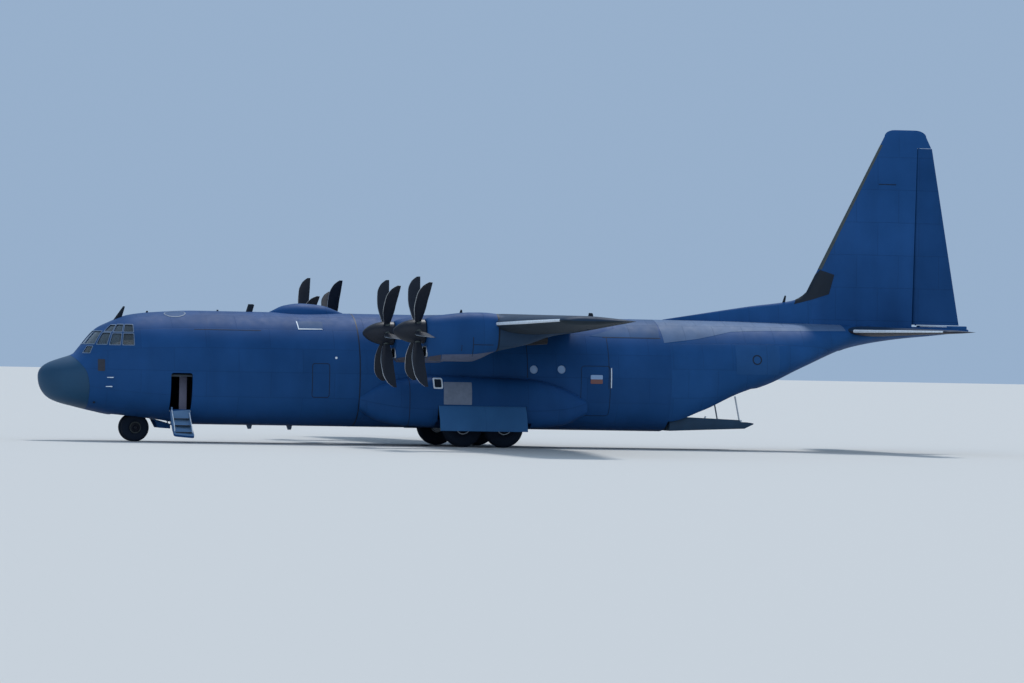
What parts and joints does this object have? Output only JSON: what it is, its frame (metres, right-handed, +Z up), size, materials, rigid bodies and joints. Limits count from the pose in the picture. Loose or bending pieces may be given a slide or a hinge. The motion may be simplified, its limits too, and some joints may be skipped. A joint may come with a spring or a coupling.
{
  "type": "military transport plane, half-scale model",
  "caption": "High-wing turboprop transport plane on its gear, with a hollow hull, a lowered tail ramp, an open crew door, control surfaces, steering nose gear and turning propellers.",
  "frame": {"origin": "on the ground below the middle of the length and span", "axes": "+X towards the tail, +Y to starboard, +Z up"},
  "size_m": [17.185, 20.205, 5.905],
  "materials": {
    "airframe_paint": "painted, satin slate blue-grey over aluminium skin",
    "radome_skin": "matt dark grey-green fibre-reinforced plastic",
    "window_glass": "clear, slightly smoked",
    "cabin_trim": "satin grey paint",
    "seat_cover": "dark olive upholstery",
    "cargo_metal": "worn grey deck paint",
    "ramp_paint": "satin grey-blue paint, worn on the deck",
    "door_paint": "satin lighter blue-grey paint",
    "engine_metal": "bare dark metal",
    "propeller_black": "satin near-black paint with worn pale leading edges",
    "gear_paint": "glossy pale grey paint with polished sliding tubes",
    "tyre_rubber": "matt black rubber"
  },
  "bodies": {
    "airframe": {"radome": "radome_skin", "cockpit_shell": "airframe_paint", "windshield_glass": "window_glass", "flight_deck": "cabin_trim", "seat_left": "seat_cover", "seat_right": "seat_cover", "forward_fuselage": "airframe_paint", "centre_fuselage": "airframe_paint", "paratroop_door_left": "airframe_paint", "paratroop_door_right": "airframe_paint", "tail_fuselage": "airframe_paint", "cargo_floor": "cargo_metal", "sponson_left": "airframe_paint", "sponson_right": "airframe_paint", "main_gear_door_left": "door_paint", "main_gear_door_right": "door_paint", "wing_centre": "airframe_paint", "wing_left": "airframe_paint", "wing_right": "airframe_paint", "nacelle_1": "airframe_paint", "nacelle_2": "airframe_paint", "nacelle_3": "airframe_paint", "nacelle_4": "airframe_paint", "engine_1": "engine_metal", "engine_2": "engine_metal", "engine_3": "engine_metal", "engine_4": "engine_metal", "stabilizer": "airframe_paint", "fin": "airframe_paint", "nose_leg": "gear_paint", "main_legs_left": "gear_paint", "main_legs_right": "gear_paint"},
    "crew_door": {"crew_door": "airframe_paint"},
    "aft_cargo_door": {"aft_cargo_door": "airframe_paint"},
    "cargo_ramp": {"cargo_ramp": "ramp_paint"},
    "flap_inner_left": {"flap_inner_left": "airframe_paint"},
    "flap_inner_right": {"flap_inner_right": "airframe_paint"},
    "flap_outer_left": {"flap_outer_left": "airframe_paint"},
    "flap_outer_right": {"flap_outer_right": "airframe_paint"},
    "aileron_left": {"aileron_left": "airframe_paint"},
    "aileron_right": {"aileron_right": "airframe_paint"},
    "elevator_left": {"elevator_left": "airframe_paint"},
    "elevator_right": {"elevator_right": "airframe_paint"},
    "rudder": {"rudder": "airframe_paint"},
    "propeller_1": {"propeller_1": "propeller_black"},
    "propeller_2": {"propeller_2": "propeller_black"},
    "propeller_3": {"propeller_3": "propeller_black"},
    "propeller_4": {"propeller_4": "propeller_black"},
    "nose_fork": {"nose_fork": "gear_paint"},
    "nose_wheels": {"nose_wheels": "gear_paint", "nose_tyre_left": "tyre_rubber", "nose_tyre_right": "tyre_rubber"},
    "main_wheel_left_front": {"main_wheel_left_front": "gear_paint", "main_tyre_left_front": "tyre_rubber"},
    "main_wheel_left_rear": {"main_wheel_left_rear": "gear_paint", "main_tyre_left_rear": "tyre_rubber"},
    "main_wheel_right_front": {"main_wheel_right_front": "gear_paint", "main_tyre_right_front": "tyre_rubber"},
    "main_wheel_right_rear": {"main_wheel_right_rear": "gear_paint", "main_tyre_right_rear": "tyre_rubber"}
  },
  "joints": [
    {"name": "crew_door_hinge", "type": "hinge", "parent": "airframe", "child": "crew_door", "pos_m": [-6.1875, -0.88124, 0.561], "axis": [1, 0, 0], "range_deg": [-117, 0]},
    {"name": "aft_door_hinge", "type": "hinge", "parent": "airframe", "child": "aft_cargo_door", "pos_m": [6.0275, 0, 1.895], "axis": [0, 1, 0], "range_deg": [-29, 0]},
    {"name": "ramp_hinge", "type": "hinge", "parent": "airframe", "child": "cargo_ramp", "pos_m": [2.7475, 0, 0.465], "axis": [0, 1, 0], "range_deg": [-24, 17]},
    {"name": "flap_inner_left_hinge", "type": "hinge", "parent": "airframe", "child": "flap_inner_left", "pos_m": [0.3125, -1.9625, 2.15], "axis": [0, 1, 0], "range_deg": [0, 36]},
    {"name": "flap_inner_right_hinge", "type": "hinge", "parent": "airframe", "child": "flap_inner_right", "pos_m": [0.3125, 1.9625, 2.15], "axis": [0, 1, 0], "range_deg": [0, 36]},
    {"name": "flap_outer_left_hinge", "type": "hinge", "parent": "airframe", "child": "flap_outer_left", "pos_m": [0.11182, -4.45875, 2.16808], "axis": [0.1197, 0.9927, -0.0108], "range_deg": [0, 36]},
    {"name": "flap_outer_right_hinge", "type": "hinge", "parent": "airframe", "child": "flap_outer_right", "pos_m": [0.11182, 4.45875, 2.16808], "axis": [-0.1197, 0.9927, 0.0108], "range_deg": [0, 36]},
    {"name": "aileron_left_hinge", "type": "hinge", "parent": "airframe", "child": "aileron_left", "pos_m": [-0.31079, -7.9625, 2.20617], "axis": [0.1197, 0.9927, -0.0108], "range_deg": [-20, 20]},
    {"name": "aileron_right_hinge", "type": "hinge", "parent": "airframe", "child": "aileron_right", "pos_m": [-0.31079, 7.9625, 2.20617], "axis": [-0.1197, 0.9927, 0.0108], "range_deg": [-20, 20]},
    {"name": "elevator_left_hinge", "type": "hinge", "parent": "airframe", "child": "elevator_left", "pos_m": [7.1575, -2.15, 2.2], "axis": [0, 1, 0], "range_deg": [-40, 15]},
    {"name": "elevator_right_hinge", "type": "hinge", "parent": "airframe", "child": "elevator_right", "pos_m": [7.1575, 2.15, 2.2], "axis": [0, 1, 0], "range_deg": [-40, 15]},
    {"name": "rudder_hinge", "type": "hinge", "parent": "airframe", "child": "rudder", "pos_m": [7.5875, 0, 3.96], "axis": [0, 0, 1], "range_deg": [-35, 35]},
    {"name": "propeller_1_spin", "type": "hinge", "parent": "airframe", "child": "propeller_1", "pos_m": [-2.8425, -5.08, 2.025], "axis": [1, 0, 0], "continuous": true},
    {"name": "propeller_2_spin", "type": "hinge", "parent": "airframe", "child": "propeller_2", "pos_m": [-2.8425, -2.47, 1.99], "axis": [1, 0, 0], "continuous": true},
    {"name": "propeller_3_spin", "type": "hinge", "parent": "airframe", "child": "propeller_3", "pos_m": [-2.8425, 2.47, 1.99], "axis": [1, 0, 0], "continuous": true},
    {"name": "propeller_4_spin", "type": "hinge", "parent": "airframe", "child": "propeller_4", "pos_m": [-2.8425, 5.08, 2.025], "axis": [1, 0, 0], "continuous": true},
    {"name": "nose_steering", "type": "hinge", "parent": "airframe", "child": "nose_fork", "pos_m": [-6.8675, 0, 0.4], "axis": [0, 0, 1], "range_deg": [-60, 60]},
    {"name": "nose_wheels_spin", "type": "hinge", "parent": "nose_fork", "child": "nose_wheels", "pos_m": [-6.8675, 0, 0.2475], "axis": [0, 1, 0], "continuous": true},
    {"name": "main_wheel_left_front_spin", "type": "hinge", "parent": "airframe", "child": "main_wheel_left_front", "pos_m": [-1.1375, -1.085, 0.355], "axis": [0, 1, 0], "continuous": true},
    {"name": "main_wheel_left_rear_spin", "type": "hinge", "parent": "airframe", "child": "main_wheel_left_rear", "pos_m": [-0.3875, -1.085, 0.355], "axis": [0, 1, 0], "continuous": true},
    {"name": "main_wheel_right_front_spin", "type": "hinge", "parent": "airframe", "child": "main_wheel_right_front", "pos_m": [-1.1375, 1.085, 0.355], "axis": [0, 1, 0], "continuous": true},
    {"name": "main_wheel_right_rear_spin", "type": "hinge", "parent": "airframe", "child": "main_wheel_right_rear", "pos_m": [-0.3875, 1.085, 0.355], "axis": [0, 1, 0], "continuous": true}
  ],
  "couplings": [
    {"joint": "flap_inner_right_hinge", "follows": "flap_inner_left_hinge", "ratio": 1},
    {"joint": "flap_outer_left_hinge", "follows": "flap_inner_left_hinge", "ratio": 1},
    {"joint": "flap_outer_right_hinge", "follows": "flap_inner_left_hinge", "ratio": 1},
    {"joint": "aileron_right_hinge", "follows": "aileron_left_hinge", "ratio": -1},
    {"joint": "elevator_right_hinge", "follows": "elevator_left_hinge", "ratio": 1}
  ]
}
